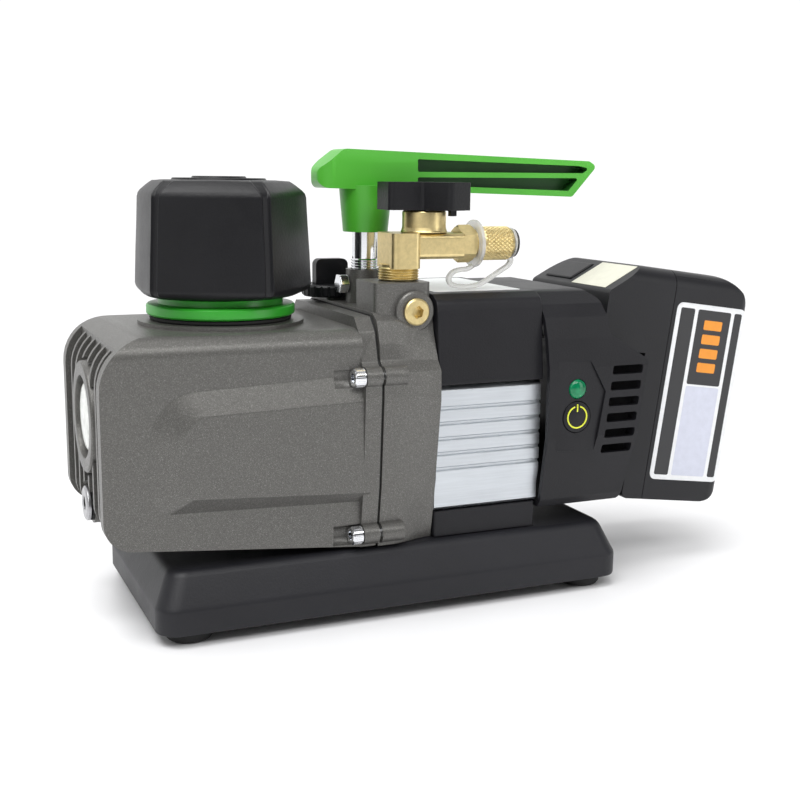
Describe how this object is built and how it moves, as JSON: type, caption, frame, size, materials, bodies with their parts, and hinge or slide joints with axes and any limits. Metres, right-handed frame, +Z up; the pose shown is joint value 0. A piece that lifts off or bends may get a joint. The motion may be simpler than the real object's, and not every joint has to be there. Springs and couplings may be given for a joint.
{
  "type": "hvac vacuum pump",
  "caption": "Cordless rotary-vane vacuum pump with oil tank, screw exhaust cap, brass inlet valve, carrying handle and slide-on battery.",
  "frame": {"origin": "centre of the bounding box's base, on the floor under the feet", "axes": "+X along the pump from the sight glass to the battery, +Z up; the inlet valve and power button are on the -Y side"},
  "size_m": [0.34, 0.1168, 0.213],
  "materials": {
    "tray_plastic": "fine grained",
    "foot_rubber": "matte",
    "grey_enamel": "speckled satin over cast aluminium",
    "black_plastic": "fine grained",
    "seal_rubber": "matte",
    "green_plastic": "satin",
    "white_lens": "translucent white",
    "brass": "machined",
    "steel": "plated",
    "chrome": "bright",
    "iron": "machined grey iron",
    "aluminium": "satin extrusion",
    "clear_plastic": "translucent",
    "windings": "laminations with enamelled windings",
    "board": "circuit board",
    "green_lamp": "translucent green",
    "filter_paper": "pleated element",
    "carbon": "carbon composite",
    "cells": "wrapped cells"
  },
  "bodies": {
    "pump_frame": {"base_tray": "tray_plastic", "battery_terminal_block": "black_plastic", "cap_tether": "clear_plastic", "carry_handle": "green_plastic", "control_board": "board", "exhaust_filter": "filter_paper", "filler_gasket": "seal_rubber", "filler_ring": "green_plastic", "flange_screw_1": "chrome", "flange_screw_2": "chrome", "flange_screw_3": "chrome", "flange_screw_4": "chrome", "flare_fitting": "brass", "foot_1": "foot_rubber", "foot_2": "foot_rubber", "foot_3": "foot_rubber", "foot_4": "foot_rubber", "front_bearing": "steel", "handle_post": "chrome", "inlet_valve_body": "brass", "led_lens": "green_lamp", "motor_casing": "aluminium", "motor_saddle": "black_plastic", "motor_stator": "windings", "motor_top_cover": "black_plastic", "oil_tank": "grey_enamel", "post_clamp_screw": "chrome", "pump_cylinder": "iron", "pump_end_cover": "iron", "pump_housing": "grey_enamel", "rear_bearing": "steel", "rear_housing": "black_plastic", "shaft_seal": "seal_rubber", "side_port_plug": "brass", "sight_glass_bezel": "grey_enamel", "sight_glass_lens": "white_lens", "switch_board": "board", "tank_gasket": "seal_rubber", "valve_bonnet": "brass"},
    "cap_seal_ring": {"cap_seal": "seal_rubber"},
    "exhaust_cap_body": {"exhaust_cap": "black_plastic"},
    "drain_seal_ring": {"drain_seal": "seal_rubber"},
    "drain_plug_body": {"drain_plug": "steel"},
    "flare_seal_disc": {"flare_cap_seal": "seal_rubber"},
    "flare_cap_body": {"flare_cap": "brass"},
    "ballast_knob": {"gas_ballast_knob": "black_plastic"},
    "inlet_valve_spindle": {"inlet_valve_knob": "black_plastic", "valve_stem": "steel", "valve_ball": "chrome"},
    "power_switch": {"power_button": "black_plastic"},
    "battery_pack": {"battery_shell": "black_plastic", "battery_cover": "black_plastic", "battery_cell_pack": "cells"},
    "battery_latch": {"battery_latch_button": "black_plastic"},
    "rotating_group": {"pump_rotor": "steel", "vane_1": "carbon", "vane_2": "carbon", "coupling": "steel", "motor_rotor": "steel", "cooling_fan": "black_plastic"}
  },
  "joints": [
    {"name": "exhaust_cap_lift", "type": "slide", "parent": "pump_frame", "child": "cap_seal_ring", "axis": [0, 0, 1], "range_m": [0, 0.006]},
    {"name": "exhaust_cap_turn", "type": "hinge", "parent": "cap_seal_ring", "child": "exhaust_cap_body", "pos_m": [-0.10484, 0, 0.168], "axis": [0, 0, 1], "range_deg": [0, 540]},
    {"name": "drain_plug_travel", "type": "slide", "parent": "pump_frame", "child": "drain_seal_ring", "axis": [-1, 0, 0], "range_m": [0, 0.01]},
    {"name": "drain_plug_turn", "type": "hinge", "parent": "drain_seal_ring", "child": "drain_plug_body", "pos_m": [-0.16764, 0, 0.053], "axis": [-1, 0, 0], "range_deg": [0, 2400]},
    {"name": "flare_cap_travel", "type": "slide", "parent": "pump_frame", "child": "flare_seal_disc", "axis": [1, 0, 0], "range_m": [0, 0.0076], "deforming": ["cap_tether"]},
    {"name": "flare_cap_turn", "type": "hinge", "parent": "flare_seal_disc", "child": "flare_cap_body", "pos_m": [0.02636, -0.0283, 0.1695], "axis": [1, 0, 0], "range_deg": [0, 2154]},
    {"name": "gas_ballast_turn", "type": "hinge", "parent": "pump_frame", "child": "ballast_knob", "pos_m": [-0.04064, 0.028, 0.141], "axis": [0, 0, 1], "range_deg": [0, 90]},
    {"name": "inlet_valve_turn", "type": "hinge", "parent": "pump_frame", "child": "inlet_valve_spindle", "pos_m": [-0.01514, -0.0283, 0.1695], "axis": [0, 0, 1], "range_deg": [0, 90]},
    {"name": "power_button_press", "type": "slide", "parent": "pump_frame", "child": "power_switch", "axis": [0, 1, 0], "range_m": [0, 0.0012], "stiffness_N_per_m": 600},
    {"name": "battery_slide", "type": "slide", "parent": "pump_frame", "child": "battery_pack", "axis": [0.1357, 0, 0.9907], "range_m": [0, 0.046]},
    {"name": "battery_latch_press", "type": "slide", "parent": "battery_pack", "child": "battery_latch", "axis": [0.4646, 0, -0.8855], "range_m": [0, 0.0025], "stiffness_N_per_m": 800},
    {"name": "shaft_spin", "type": "hinge", "parent": "pump_frame", "child": "rotating_group", "pos_m": [-0.03364, 0, 0.0755], "axis": [1, 0, 0], "continuous": true}
  ],
  "couplings": [
    {"joint": "exhaust_cap_lift", "follows": "exhaust_cap_turn", "m_per_rad": 0.00063662},
    {"joint": "drain_plug_travel", "follows": "drain_plug_turn", "m_per_rad": 0.00023873},
    {"joint": "flare_cap_travel", "follows": "flare_cap_turn", "m_per_rad": 0.00020213}
  ]
}
